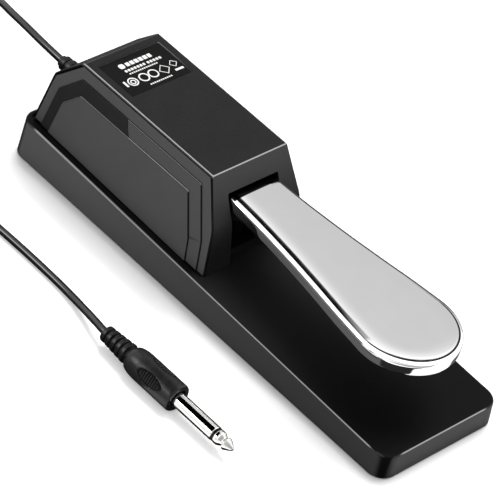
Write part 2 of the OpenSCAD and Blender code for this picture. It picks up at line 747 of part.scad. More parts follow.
module plug_insulator() {
    color(black) in_plug_frame() difference() {
        union() {
            translate([0, 0, plug_z[2] - 6]) cylinder(h = plug_z[4] - plug_z[2] + 6, r = 2.05);
            translate([0, 0, plug_z[3] + 0.02]) cylinder(h = plug_z[4] - plug_z[3] - 0.02, r = 3);
        }
        translate([0, 0, plug_z[2] - 7]) cylinder(h = 40, r = 1.25);
    }
}

module plug_tip() {
    z = plug_z;
    color(chrome) in_plug_frame() {
        translate([0, 0, z[2] - 6]) cylinder(h = z[4] - z[2] + 6.5, r = 1.2);
        rotate_extrude() polygon([[0, z[4] + 0.03], [3, z[4] + 0.03], [3.1, z[4] + 0.8], [3.05, z[4] + 1.6],
                                  [1.95, z[5] - 0.4], [1.95, z[5] - 0.1], [2.75, z[6] - 0.2],
                                  [2.75, z[6] + 0.2], [0.9, z[7] - 0.4], [0, z[7]]]);
    }
}

base_shell();
base_plate();
rubber_mat();
housing_shell();
cheek(-1);  // cheek_left
cheek(1);  // cheek_right
trim(-1);  // trim_left
trim(1);  // trim_right
label_plate();
pedal_lever();
lever_carrier();
lever_screws();
pivot_bushes();
pivot_pin();
pin_clips();
pivot_bracket();
bracket_screws();
return_spring();
up_stop();
down_stop();
circuit_board();
board_screws();
microswitch();
switch_plunger();
polarity_switch();
polarity_knob();
cable_clamp();
clamp_screws();
signal_wires();
housing_screws();
plate_screws();
cord_boot();
cord_entry();
cord_rear();
cord_coil();
cord_tie();
cord_front();
plug_boot();
plug_handle();
plug_sleeve();
plug_insulator();
plug_tip();
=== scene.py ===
import bpy
import bmesh
import math
from mathutils import Matrix, Vector


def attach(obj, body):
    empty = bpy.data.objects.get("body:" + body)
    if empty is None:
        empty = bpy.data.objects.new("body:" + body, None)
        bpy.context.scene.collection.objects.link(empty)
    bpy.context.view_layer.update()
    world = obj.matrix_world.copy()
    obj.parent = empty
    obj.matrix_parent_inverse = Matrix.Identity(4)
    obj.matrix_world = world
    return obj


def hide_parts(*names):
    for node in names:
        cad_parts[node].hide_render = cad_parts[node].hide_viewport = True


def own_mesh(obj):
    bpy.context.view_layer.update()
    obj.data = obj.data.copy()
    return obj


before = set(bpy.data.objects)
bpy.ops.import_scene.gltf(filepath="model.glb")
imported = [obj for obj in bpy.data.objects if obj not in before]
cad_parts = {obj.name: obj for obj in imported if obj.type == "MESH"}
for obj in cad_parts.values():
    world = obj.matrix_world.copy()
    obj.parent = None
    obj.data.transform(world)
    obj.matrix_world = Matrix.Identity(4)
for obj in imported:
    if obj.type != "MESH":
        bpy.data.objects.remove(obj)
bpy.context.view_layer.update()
scene = bpy.context.scene
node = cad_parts
MM = 0.001
PI = math.pi

# ---------------------------------------------------------------- camera
AZ, EL, ROLL, DIST, LENS = math.radians(-54.2), math.radians(40.07), math.radians(16.5), 1.43912, 258.13
TARGET = Vector((0.0144, 0.01352, 0.0))
back = Vector((math.sin(AZ) * math.cos(EL), -math.cos(AZ) * math.cos(EL), math.sin(EL)))
right = Vector((math.cos(AZ), math.sin(AZ), 0))
up = back.cross(right)
cam_x = right * math.cos(ROLL) + up * math.sin(ROLL)
cam_y = up * math.cos(ROLL) - right * math.sin(ROLL)
cam = bpy.data.cameras.new("camera")
cam.lens, cam.sensor_width, cam.clip_start, cam.clip_end = LENS, 36, 0.05, 20
cam_ob = bpy.data.objects.new("camera", cam)
cam_ob.matrix_world = (Matrix.Translation(TARGET + back * DIST)
                       @ Matrix((cam_x, cam_y, back)).transposed().to_4x4())
scene.collection.objects.link(cam_ob)
scene.camera = cam_ob
scene.view_settings.view_transform = "Standard"

# ---------------------------------------------------------------- places in millimetres that looks and shapes share
PLUG_AT = Vector((-75.3, 3.2, 6.1))     # the cord's end of the plug, which points towards -y
HANDLE, PADS = (15.8, 41.9), 30.0       # distances along it: the handle's ends, and the middle of its grip pads
LABEL_Y = 77.4


# ---------------------------------------------------------------- materials
class Nodes:
    """A material's node tree, with short names for its common nodes."""

    def __init__(self, tree):
        self.tree = tree

    def new(self, kind, **inputs):
        n = self.tree.nodes.new(kind)
        for k, v in inputs.items():
            self.set(n, k.replace("_", " "), v)
        return n

    def set(self, n, socket, v):
        if isinstance(v, bpy.types.NodeSocket):
            self.tree.links.new(v, n.inputs[socket])
        else:
            n.inputs[socket].default_value = v

    def noise(self, at, scale, detail):
        return self.new("ShaderNodeTexNoise", Vector=at, Scale=scale, Detail=detail).outputs["Fac"]

    def xyz(self, v):
        return self.new("ShaderNodeSeparateXYZ", Vector=v).outputs

    def ramp(self, v, a, b, lo=0.0, hi=1.0):
        """v from a to b becomes lo to hi, smoothly."""
        n = self.tree.nodes.new("ShaderNodeMapRange")
        n.interpolation_type = "SMOOTHSTEP"
        for i, x in enumerate((v, a, b, lo, hi)):
            self.set(n, i, x)
        return n.outputs[0]

    def math(self, op, a, b=0.0):
        n = self.tree.nodes.new("ShaderNodeMath")
        n.operation = op
        self.set(n, 0, a)
        self.set(n, 1, b)
        return n.outputs[0]

    def distance(self, v, at=0.0):
        """How far v is from at."""
        return self.math("ABSOLUTE", self.math("SUBTRACT", v, at) if at else v)

    def both(self, *factors):
        """The product: 1 where every factor is 1."""
        out = factors[0]
        for f in factors[1:]:
            out = self.math("MULTIPLY", out, f)
        return out

    def either(self, a, b):
        return self.math("MAXIMUM", a, b)

    def mix(self, f, a, b):
        n = self.tree.nodes.new("ShaderNodeMix")
        n.data_type = "RGBA"
        self.set(n, 0, f)
        self.set(n, 6, a)
        self.set(n, 7, b)
        return n.outputs[2]

    def scaled(self, v, k):
        n = self.tree.nodes.new("ShaderNodeVectorMath")
        n.operation = "SCALE"
        self.set(n, 0, v)
        self.set(n, "Scale", k)
        return n.outputs[0]


def rgb(v):
    return (*v, 1.0) if isinstance(v, tuple) else (v, v, v, 1.0)


def material(name, colour, rough, metal=0.0, spec=0.5, coat=0.0, vary=0.12, rough_vary=0.06,
             grain=(2600, 0.00002), sheen=0.0, tint=None, matt=None):
    """Principled finish: blotches of colour, uneven gloss and a fine grain, all from noise in object space.
    tint(t, colour, mm, normal) may put edges or panels of another colour over it, and matt(t, mm, normal) makes
    faces at least that rough."""
    blotches, dull_spots = 90, 243      # noise scales
    m = bpy.data.materials.new(name)
    m.use_nodes = True
    t = Nodes(m.node_tree)
    b = m.node_tree.nodes["Principled BSDF"]
    at = t.new("ShaderNodeTexCoord").outputs["Object"]
    c = Vector(rgb(colour)[:3])
    shade = t.mix(t.ramp(t.noise(at, blotches, 4), 0.3, 0.7), (*(c * (1 - vary)), 1), (*(c * (1 + vary)), 1))
    if tint:
        mm = t.xyz(t.scaled(at, 1 / MM))
        n = t.xyz(t.new("ShaderNodeNewGeometry").outputs["Normal"])
        shade = tint(t, shade, mm, n)
    gloss = t.ramp(t.noise(at, dull_spots, 5), 0.3, 0.7, max(0.0, rough - rough_vary), rough + rough_vary)
    if matt:
        gloss = t.either(gloss, matt(t, mm, n))
    t.set(b, "Base Color", shade)
    t.set(b, "Roughness", gloss)
    t.set(b, "Metallic", metal)
    t.set(b, "Specular IOR Level", spec)
    t.set(b, "Coat Weight", coat)
    if sheen:
        t.set(b, "Sheen Weight", sheen)
    if grain:
        scale, depth = grain
        t.set(b, "Normal", t.new("ShaderNodeBump", Height=t.noise(at, scale, 2), Distance=depth).outputs[0])
    return m


# greys of the mouldings, as reflectance; all but BORDER are painted light or shade
# painted highlights along rolled edges, and the near-black of painted shade
PAINTED_HIGHLIGHT, BASE_PAINTED_HIGHLIGHT, PAINTED_SHADE = 0.3, 0.27, 0.0025
PAINTED_LIT_LIP, BORDER = 0.056, 0.063                              # the lip above the side panels, painted lighter than the top as painted light; and the border round their raised parts
FRONT_FOOT_SHADE, FRONT_TOP_LIT = 0.001, 0.043                    # painted shade: the housing's front face is painted lighter at its top and darker towards its foot
# painted shade: the base's top is painted darker towards the front
BASE_TOP_SHADED_FRONT, BASE_TOP_LIT_REAR = 0.003, 0.0105
# painted light: the base's sides are painted lighter than its top, and lighter towards the rear
BASE_SIDE_LIT_FRONT, BASE_SIDE_LIT_REAR = 0.034, 0.08
# where a look starts and where it is full: in millimetres, or by a component of the normal
TOP_Z, FRONT_Z = (51.9, 52.4), (21, 54)
FACES_FRONT, FACES_SIDE, ROLLED = (-0.7, -0.8), (0.7, 0.9), (0.5, 0.68)
RECESS_HALF = 17.2, 11.2                                # the label's recess, in x and y


def shell_tint(t, shade, mm, n):
    """Painted light and shade: highlights along the top edges and fainter ones round the label, a lip above the side
    panels painted lighter as if lit, faces turned sideways painted black as shade, and the front face painted darker
    towards its foot.
    """
    top, side = t.ramp(mm[2], *TOP_Z), t.ramp(t.distance(n[0]), *FACES_SIDE)
    # painted shade: the front face is lighter at its top and darker towards its foot
    face = t.mix(t.ramp(mm[2], *FRONT_Z), rgb(FRONT_FOOT_SHADE), rgb(FRONT_TOP_LIT))
    shade = t.mix(t.ramp(n[1], *FACES_FRONT), shade, face)
    # painted shade: faces turned sideways are painted black, so the seams beside the side panels read as shaded
    shade = t.mix(side, shade, rgb(PAINTED_SHADE))
    # painted light: the lip above the side panels is lighter than the top
    shade = t.mix(t.both(side, top), shade, rgb(PAINTED_LIT_LIP))
    # painted highlights on the rolled top edges, fainter round the label
    roll = t.both(t.ramp(n[2], *ROLLED), t.ramp(n[2], 0.985, 0.94))
    off_label = t.either(t.math("SUBTRACT", t.distance(mm[0]), RECESS_HALF[0]),
                         t.math("SUBTRACT", t.distance(mm[1], LABEL_Y), RECESS_HALF[1]))
    facing = t.ramp(t.math("ADD", n[0], n[1]), -0.3, -0.5, 0.0, 0.7)
    share = t.either(t.both(t.ramp(off_label, 0, 0.3), t.ramp(n[1], 0.25, 0.1)), facing)
    return t.mix(t.both(roll, top, share), shade, rgb(PAINTED_HIGHLIGHT))


def front_matt(t, mm, n):
    """The housing's front face is matt."""
    return t.ramp(n[1], *FACES_FRONT, 0.0, 0.85)


def dark_edge_tint(t, shade, mm, n):
    """The shell's cut edges: black as painted shade, apart from the painted light and highlights that shell_tint adds.
    """
    return shell_tint(t, rgb(PAINTED_SHADE), mm, n)


def base_tint(t, shade, mm, n):
    """Painted light and shade: sides lighter than the top, round corners and the top darker, the top black round the
    housing's foot, and a painted highlight along the outer top edge.
    """
    x, y = t.distance(mm[0]), t.distance(mm[1])
    flat = t.either(t.ramp(t.distance(n[0]), 0.8, 0.985), t.ramp(t.distance(n[1]), 0.8, 0.985))
    outer = t.either(t.ramp(x, 30.6, 31.0), t.ramp(y, 108.0, 108.4))
    straight = t.either(t.ramp(y, 101, 98, 0.08, 1.0), t.ramp(x, 25, 22, 0.08, 1.0))
    # painted shade: the top is darker towards the front and black round the housing's foot
    top = t.mix(t.ramp(mm[1], -95, -20), rgb(BASE_TOP_SHADED_FRONT), rgb(BASE_TOP_LIT_REAR))
    top = t.mix(t.ramp(mm[1], 3, 7), top, rgb(PAINTED_SHADE))
    # painted light: the sides are lighter than the top, and lighter towards the rear
    side = t.mix(t.ramp(mm[1], -95, 110), rgb(BASE_SIDE_LIT_FRONT), rgb(BASE_SIDE_LIT_REAR))
    roll = t.both(t.ramp(n[2], 0.35, 0.6), t.ramp(n[2], 0.97, 0.85))
    # painted shade: round corners keep the top's dark grey instead of the sides' lighter one
    shade = t.mix(t.both(flat, outer), top, side)
    # painted highlight along the straight parts of the outer top edge
    return t.mix(t.both(roll, outer, straight), shade, rgb(BASE_PAINTED_HIGHLIGHT))


def step_height(t, mm):
    """How far a point of a side panel stands out from the panel's border, in millimetres."""
    border_x, at_z, lean = 28, 10, 0.176
    inward = t.both(t.math("SUBTRACT", mm[2], at_z), lean)
    return t.math("ADD", t.math("SUBTRACT", t.distance(mm[0]), border_x), inward)


def cheek_tint(t, shade, mm, n):
    """The border is a little lighter than the raised panels."""
    return t.mix(t.ramp(step_height(t, mm), 0.75, 0.15), shade, rgb(BORDER))


def cheek_edge_tint(t, shade, mm, n):
    """Painted highlights on the upper edges of the two steps; every other edge is painted dark as shade."""
    light = t.both(t.ramp(n[2], *ROLLED), t.ramp(step_height(t, mm), 0.15, 0.3))
    return t.mix(light, rgb(PAINTED_SHADE), rgb(PAINTED_HIGHLIGHT))


def lever_tint(t, shade, mm, n):
    """Painted shade: a black band on the lever's top where it enters the housing."""
    return t.mix(t.both(t.ramp(mm[1], 7.5, 7.9), t.ramp(n[2], 0.8, 0.93)), shade, rgb(0.004))


def grooves(t, mm):
    """1 in the grooves of the plug's grip pads."""
    across = t.math("SUBTRACT", mm[0], PLUG_AT.x), t.math("SUBTRACT", mm[2], PLUG_AT.z)
    radius = t.math("SQRT", t.math("ADD", *(t.both(c, c) for c in across)))
    return t.both(t.ramp(radius, 5.98, 5.65), t.ramp(t.distance(mm[1], PLUG_AT.y - PADS), 7.4, 7.0))


def grip_matt(t, mm, n):
    return t.both(grooves(t, mm), 0.9)


# painted shade: the grooves of the grip pads are painted near-black
def grip_tint(t, shade, mm, n):
    return t.mix(grooves(t, mm), shade, rgb(0.0008))


# colours are linear reflectance; grain is the scale of its noise and its depth in metres
M = {
    "shell": material("shell", (0.006, 0.006, 0.0064), 0.28, spec=0.2, rough_vary=0.015, tint=shell_tint,
                      matt=front_matt),
    "edge": material("edge", 0.0075, 0.35, spec=0.05, vary=0.2, tint=dark_edge_tint),
    "base": material("base", (0.006, 0.006, 0.0062), 0.36, spec=0.06, rough_vary=0.02, tint=base_tint),
    "cheek": material("cheek", (0.06, 0.06, 0.0605), 0.4, spec=0.4, vary=0.03, rough_vary=0.02, tint=cheek_tint),
    "cheek_edge": material("cheek_edge", 0.016, 0.35, spec=0.05, vary=0.2, tint=cheek_edge_tint),
    "trim": material("trim", (0.015, 0.015, 0.0153), 0.36, spec=0.2, vary=0.06),
    "label": material("label", (0.002, 0.002, 0.002), 0.42, spec=0.1),
    "print": material("print", (0.62, 0.62, 0.61), 0.5, vary=0.05),
    "chrome": material("chrome", (0.86, 0.86, 0.87), 0.045, metal=1.0, vary=0.01, rough_vary=0.015, grain=None,
                       tint=lever_tint),
    "nickel": material("nickel", (0.85, 0.84, 0.82), 0.06, metal=1.0, vary=0.02, rough_vary=0.02, grain=None),
    "steel": material("steel", (0.55, 0.55, 0.56), 0.3, metal=1.0, vary=0.06, grain=(900, 0.00001)),
    "spring": material("spring", (0.5, 0.5, 0.52), 0.25, metal=1.0, vary=0.06, grain=(1800, 0.00001)),
    "carrier": material("carrier", (0.004, 0.004, 0.004), 0.6, spec=0.2),
    "nylon": material("nylon", (0.6, 0.58, 0.53), 0.45, vary=0.04),
    "rubber": material("rubber", (0.008, 0.008, 0.008), 0.75, spec=0.2, grain=(1500, 0.00004)),
    "cord": material("cord", (0.0015, 0.0015, 0.0015), 0.12, spec=0.7, vary=0.15, rough_vary=0.03,
                     grain=(1200, 0.00002)),
    "boot": material("boot", (0.003, 0.003, 0.003), 0.32, spec=0.3, grain=(1500, 0.00003)),
    "plug": material("plug", (0.008, 0.008, 0.008), 0.3, spec=0.32, grain=(2200, 0.00002), tint=grip_tint,
                     matt=grip_matt),
    "insulator": material("insulator", (0.003, 0.003, 0.003), 0.25, spec=0.2),
    "board": material("board", (0.012, 0.08, 0.03), 0.35, coat=0.3),
    "switch": material("switch", (0.012, 0.012, 0.013), 0.4),
    "red": material("red", (0.4, 0.02, 0.015), 0.35),
    "wire": material("wire", (0.28, 0.015, 0.015), 0.35),
    "tie": material("tie", (0.008, 0.008, 0.009), 0.9, grain=(900, 0.00015), sheen=0.3),
}


# ---------------------------------------------------------------- floor and light
def staged(name, corners, finish):
    """A rectangle that isn't part of the object."""
    mesh = bpy.data.meshes.new(name)
    mesh.from_pydata(corners, [], [(0, 1, 2, 3)])
    mesh.materials.append(finish)
    ob = bpy.data.objects.new(name, mesh)
    scene.collection.objects.link(ob)
    return ob


def floor_tint(t, shade, mm, n):
    """White paper, painted lighter left of the pedal so that the plug's shadow is faint. Gloss mirrors grey felt round
    the pedal, white paper in front of it, a dark room at the rear right, a dark card in front, a pale mat beside the
    plug and a dark one under it."""
    glossy = t.new("ShaderNodeLightPath").outputs["Is Glossy Ray"]
    away = t.new("ShaderNodeVectorMath", Vector=t.new("ShaderNodeTexCoord").outputs["Object"])
    away.operation = "LENGTH"

    def near(axis, at, inner, outer):
        return t.ramp(t.distance(mm[axis], at), outer, inner)

    felt = t.mix(t.ramp(mm[0], -66, -220), rgb(0.07), rgb(0.5))
    for cover, level in (
            (t.ramp(mm[1], -108, -113), 0.8),
            (t.both(t.ramp(away.outputs["Value"], 0.14, 0.3), t.ramp(mm[1], -70, -20)), 0.02),
            (t.both(t.ramp(mm[1], -88, -94), near(0, -51, 23, 27)), 0.01),
            (t.both(near(0, -97, 14, 17), near(1, -55, 30, 34)), 0.85),
            (t.both(near(0, PLUG_AT.x, 7, 8.5), near(1, -63, 22, 25)), 0.01)):
        felt = t.mix(cover, felt, rgb(level))
    # painted light: the paper is lighter left of the pedal, to fade the plug's shadow
    return t.mix(glossy, t.mix(t.ramp(mm[0], -46, -62), shade, rgb(0.85)), felt)


FLOOR_HALF, PAPER_GLOW = 4, 0.3
paper = material("floor", 0.8, 0.7, spec=0.05, vary=0.005, grain=None, tint=floor_tint)
staged("floor", [(x * FLOOR_HALF, y * FLOOR_HALF, 0) for x, y in ((-1, -1), (1, -1), (1, 1), (-1, 1))], paper)

# the paper glows a little left of the pedal, so that the plug's shadow is faint
t = Nodes(paper.node_tree)
paper_shader = paper.node_tree.nodes["Principled BSDF"]
glow = t.ramp(t.xyz(t.new("ShaderNodeTexCoord").outputs["Object"])[0], -0.042, -0.056)
seen = t.new("ShaderNodeLightPath").outputs["Is Camera Ray"]
t.set(paper_shader, "Emission Color", t.mix(t.both(glow, seen), rgb(0), rgb(1)))
t.set(paper_shader, "Emission Strength", PAPER_GLOW)

key = bpy.data.lights.new("key", "SUN")
key.energy, key.angle = 3.2, math.radians(36)
key_ob = bpy.data.objects.new("key", key)
key_ob.rotation_euler = Vector((0.4, 0.2, 0.89)).to_track_quat("Z", "Y").to_euler()
key_ob.visible_glossy = False
scene.collection.objects.link(key_ob)

world = bpy.data.worlds.new("studio")
scene.world = world
world.use_nodes = True
t = Nodes(world.node_tree)
bg = world.node_tree.nodes["Background"]
way = t.new("ShaderNodeTexCoord").outputs["Generated"]


def toward(direction, inner, outer):
    """1 within inner degrees of the direction, falling to 0 at outer degrees."""
    n = world.node_tree.nodes.new("ShaderNodeVectorMath")
    n.operation = "DOT_PRODUCT"
    t.set(n, 0, way)
    n.inputs[1].default_value = Vector(direction).normalized()
    return t.ramp(n.outputs["Value"], math.cos(math.radians(outer)), math.cos(math.radians(inner)))


def band(direction, inner, outer):
    """1 between two angles from the direction, each given as the two ends of its soft edge."""
    return t.both(toward(direction, *outer), t.math("SUBTRACT", 1.0, toward(direction, *inner)))


# light comes from a plain pale sky; gloss mirrors a studio that is brighter on the right and has these patches, and
# round the lever's grey card a dark frame, broad only on the rear side
PLAIN, LIGHT = 0.56, 1.6
GREY_CARD, FRAME_AT = (0.78, 0.5, 0.48), (0.62, 0.45, 0.64)
PATCHES = (                                 # direction, degrees to its full part and to its edge, brightness
    ((0, -0.15, 1), 10, 20, 0.5),           # ceiling
    ((0.62, -0.78, 0.12), 12, 32, 1.3),     # reflector, front right
    ((-0.64, 0.45, 0.62), 9, 20, 4.0),      # soft box, rear left
    ((-0.92, 0.4, 0.02), 17, 24, 0.1),      # dark wall, left
    ((0.92, 0.38, 0.1), 16, 22, 0.42),      # grey wall, right
    (GREY_CARD, 11, 27, 0.424),             # fills the lever's top
    ((0.87, 0.45, 0.16), 8, 11, 0.05))      # black card, right
way_y = t.xyz(way)[1]
rear_half = t.ramp(way_y, 0.38, 0.43)
front_half = t.math("SUBTRACT", 1.0, rear_half)
sky = t.mix(toward((1, -0.25, 0.35), 5, 95), rgb(0.8), rgb(1.3))
sky = t.mix(t.ramp(way_y, -0.25, -0.6), sky, rgb(0.3))
sky = t.mix(toward(FRAME_AT, 14, 17), sky, rgb(0.7))
sky = t.mix(t.both(band(FRAME_AT, (11, 12.5), (20.5, 22.5)), rear_half), sky, rgb(0.003))
for direction, inner, outer, level in PATCHES:
    sky = t.mix(toward(direction, inner, outer), sky, rgb(level))
sky = t.mix(t.both(band(FRAME_AT, (16, 17.5), (21, 22.5)), front_half), sky, rgb(0.01))
t.set(bg, "Color", t.mix(t.new("ShaderNodeLightPath").outputs["Is Glossy Ray"], rgb(PLAIN), sky))
bg.inputs["Strength"].default_value = LIGHT


def card(name, corners, level):
    """A studio card that only gloss sees, with its corners in millimetres."""
    m = bpy.data.materials.new(name)
    m.use_nodes = True
    b = m.node_tree.nodes["Principled BSDF"].inputs
    b["Base Color"].default_value = rgb(0.0)
    b["Specular IOR Level"].default_value = 0.0
    b["Emission Color"].default_value = rgb(level)
    b["Emission Strength"].default_value = LIGHT
    ob = staged(name, [Vector(c) * MM for c in corners], m)
    ob.visible_camera = ob.visible_diffuse = ob.visible_shadow = ob.visible_transmission = False


# one over the plug, and one that stands on its left
card("dark_card", [(-170, -50, 73), (-56, -50, 73), (-56, 15, 73), (-170, 15, 73)], 0.0)
card("pale_card", [(-195, -35, 0), (-195, 30, 0), (-195, 30, 60), (-195, -35, 60)], 0.8)


# ---------------------------------------------------------------- mesh helpers
def piece(name, verts, faces, finish, body, replaces=(), smooth=35):
    """A mesh piece from points in millimetres, riding on its body, smooth across edges blunter than the angle."""
    mesh = bpy.data.meshes.new(name)
    mesh.from_pydata([Vector(v) * MM for v in verts], [], faces)
    mesh.materials.append(M[finish])
    bm = bmesh.new()
    bm.from_mesh(mesh)
    bmesh.ops.recalc_face_normals(bm, faces=bm.faces)
    for e in bm.edges:
        e.smooth = len(e.link_faces) == 2 and e.calc_face_angle(0) < math.radians(smooth)
    for f in bm.faces:
        f.smooth = True
    bm.to_mesh(mesh)
    bm.free()
    ob = bpy.data.objects.new(name, mesh)
    scene.collection.objects.link(ob)
    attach(ob, body)
    if replaces:
        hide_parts(*replaces)
    return ob


def lofted(rings, ends=True):
    """Points and faces of the skin through rings that have the same number of points, with or without flat ends."""
    n, verts, faces = len(rings[0]), [p for r in rings for p in r], []
    for i in range(len(rings) - 1):
        for k in range(n):
            a, b = i * n + k, i * n + (k + 1) % n
            faces.append((a, b, b + n, a + n))
    if ends:
        faces.append(tuple(range(n)))
        faces.append(tuple(reversed(range((len(rings) - 1) * n, len(rings) * n))))
    return verts, faces


def turned(profile, sides, place, shape=None):
    """Rings of a turned shape: profile is (radius, height) pairs, place puts a local point in the frame, and
    shape(radius, angle, height) may change the radius."""
    rings = []
    for r, z in profile:
        ring = []
        for k in range(sides):
            a = 2 * PI * k / sides
            q = shape(r, a, z) if shape else r
            ring.append(place((q * math.cos(a), q * math.sin(a), z)))
        rings.append(ring)
    return rings


# ---------------------------------------------------------------- cord
# the route of the cord in millimetres: from the rear wall to the coil, and from the coil into the plug's boot
REAR = [[0, 121, 25.3], [0.3, 127, 25.2], [1.2, 137, 24.8], [2.6, 147, 24], [4.4, 157, 22.6],
        [6.8, 167, 20.6], [8.8, 177, 17.6], [9.4, 188, 13.8], [7.5, 199, 9.8], [2.5, 208, 6.4],
        [-6, 214.5, 3.8], [-17, 217, 2.3], [-29, 215, 1.8], [-41, 209, 1.7], [-52, 200, 1.7],
        [-61, 189, 1.7], [-67.5, 177, 1.7], [-71, 165, 1.8], [-72.2, 154, 2.1]]
FRONT = [[-72.2, 140, 11.2], [-72.2, 132, 8.8], [-72.2, 124, 5.8], [-72, 116, 3.2], [-71.5, 107, 1.9],
         [-70.8, 96, 1.7], [-69.8, 84, 1.7], [-69.2, 73, 1.7], [-68.9, 60, 1.7], [-68.9, 48, 1.7],
         [-69.2, 37, 1.8], [-70.2, 27, 2.4], [-72.2, 17, 3.9], [-74.3, 9, 5.6], [-75.3, 3.2, 6.1],
         [-75.3, -3, 6.1], [-75.3, -9, 6.1]]
COIL_AT, COIL_RADII, COIL_PITCH, COIL_Z, COIL_TURNS = (-50, 148), (22.2, 19.0, 15.8), 3.25, 2.2, 12
CORD_R = 1.6


def smoothstep(v):
    v = min(1, max(0, v))
    return v * v * (3 - 2 * v)


def coil_point(turn):
    """Turn 0 is on the coil's west side, heading south; every ring steps to the next one at one place."""
    def ring(i):
        layer, k = divmod(min(max(i, 0), COIL_TURNS - 1), len(COIL_RADII))
        return COIL_RADII[k if layer % 2 == 0 else 2 - k], COIL_Z + layer * COIL_PITCH

    i, part = divmod(turn + 1 / 3, 1)
    (r0, z0), (r1, z1) = ring(int(i) - 1), ring(int(i))
    r = r0 + (r1 - r0) * smoothstep(part / 0.12)
    z = z0 + (z1 - z0) * smoothstep((part - 0.13) / 0.14)
    a = PI + 2 * PI * turn
    return [COIL_AT[0] + r * math.cos(a), COIL_AT[1] + r * math.sin(a), z]


def smooth_line(p, per):
    """Catmull-Rom line through the points p, with per points for each of them."""
    p = [Vector(x) for x in p]
    p = [2 * p[0] - p[1]] + p + [2 * p[-1] - p[-2]]
    out = []
    for i in range(1, len(p) - 2):
        w = [0]
        for k in range(3):
            w.append(w[-1] + max(1e-6, (p[i + k] - p[i + k - 1]).length) ** 0.5)
        for s in range(per):
            u = w[1] + (w[2] - w[1]) * s / per
            a = [(w[k + 1] - u) / (w[k + 1] - w[k]) * p[i - 1 + k]
                 + (u - w[k]) / (w[k + 1] - w[k]) * p[i + k] for k in range(3)]
            b = [(w[k + 2] - u) / (w[k + 2] - w[k]) * a[k]
                 + (u - w[k]) / (w[k + 2] - w[k]) * a[k + 1] for k in range(2)]
            out.append((w[2] - u) / (w[2] - w[1]) * b[0] + (u - w[1]) / (w[2] - w[1]) * b[1])
    return out + [p[-2]]


coil = [coil_point(i / 24) for i in range(COIL_TURNS * 24 + 1)]
line = smooth_line(REAR + coil + FRONT, 4)
curve = bpy.data.curves.new("cord", "CURVE")
curve.dimensions = "3D"
spline = curve.splines.new("POLY")
spline.points.add(len(line) - 1)
for pt, v in zip(spline.points, line):
    pt.co = (*(v * MM), 1)
curve.bevel_depth, curve.bevel_resolution, curve.use_fill_caps = CORD_R * MM, 5, True
curve.materials.append(M["cord"])
cord = bpy.data.objects.new("cord", curve)
scene.collection.objects.link(cord)
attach(cord, "base")
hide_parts("cord_rear", "cord_coil", "cord_front")


# ---------------------------------------------------------------- plug
def in_plug(p):
    """A point of the plug, whose z is the distance from the cord's end."""
    return PLUG_AT + Vector((p[0], -p[2], p[1]))


def turned_piece(name, profile, sides, finish, replaces, place=in_plug, shape=None):
    v, f = lofted(turned(profile, sides, place, shape))
    piece(name, v, f, finish, "base", [replaces])


def rounded_steps(points, r, n=3):
    """A profile whose corners are cut into short rounds of about radius r, each of n steps."""
    out = [points[0]]
    for a, b, c in zip(points, points[1:], points[2:]):
        a, b, c = Vector(a), Vector(b), Vector(c)
        d = min(r, (a - b).length * 0.45, (c - b).length * 0.45)
        s, e = b + (a - b).normalized() * d, b + (c - b).normalized() * d
        for i in range(n + 1):
            u = i / n
            out.append(tuple((1 - u) ** 2 * s + 2 * u * (1 - u) * b + u * u * e))
    return out + [points[-1]]


# strain relief of the plug: five soft ribs on a core
boot = [(0.02, 0.05), (2.5, 0.05)]
for i in range(5):
    z, r = 2.9 * i + 0.6, 3.45 + 0.22 * i
    boot += [(r - 0.2, z - 0.3), (r, z), (r + 0.1, z + 1.6), (r - 0.75, z + 1.85), (r - 0.75, z + 2.35)]
boot += [(4.15, 15.2), (4.15, 15.78), (0.02, 15.8)]
turned_piece("plug_boot_soft", rounded_steps(boot, r=0.3), 64, "boot", "plug_boot")

# handle: ogive shoulder, four oval grip pads with fine ribs across, and a collar round the sleeve
z0, z1, hr = *HANDLE, 6.1
NOSE_R, NOSE, COLLAR = 4.62, 7, 1.2         # the shoulder's first radius, its length, and the collar's length
nose = [(NOSE_R + (hr - NOSE_R) * math.sin(PI / 2 * i / 12), z0 + 0.02 + NOSE * (1 - math.cos(PI / 2 * i / 12)))
        for i in range(13)]
first, last = z0 + NOSE + 0.2, z1 - COLLAR
body_z = [first + (last - first) * i / 110 for i in range(111)]
handle = ([(0.02, z0 + 0.02), (4.4, z0 + 0.02)] + nose + [(hr, z) for z in body_z]
          + [(hr - 0.04, z1 - 0.8), (hr - 0.2, z1 - 0.35), (hr - 0.45, z1 - 0.1), (hr - 0.7, z1 - 0.02),
             (4.3, z1 - 0.02), (4.05, z1 - 0.1), (3.9, z1 - 0.3), (3.9, z1 - 1.0), (3.2, z1 - 1.0)])
PAD_ANGLE, PAD_HALF, PAD_DEPTH = PI / 4 + 0.3, (2.75, 7.0), 0.6
RIB_HEIGHT, RIB_PITCH = 0.5, 1.2


def grip(r, a, z):
    """Radius with the grip pads let in and ribbed."""
    if r < hr - 0.2:
        return r
    inside = 0.0            # 0 at the pad's outline, 1 in its middle
    for c in range(4):
        d = (a - PAD_ANGLE - c * PI / 2 + PI) % (2 * PI) - PI
        across, along = d * hr / PAD_HALF[0], (z - PADS) / PAD_HALF[1]
        inside = max(inside, 1 - (across ** 2 + along ** 2) ** 0.5)
    rib = 0.5 + 0.5 * math.cos(2 * PI * (z - PADS) / RIB_PITCH)
    return r - smoothstep(inside / 0.12) * (PAD_DEPTH - RIB_HEIGHT * rib * smoothstep((inside - 0.1) / 0.15))


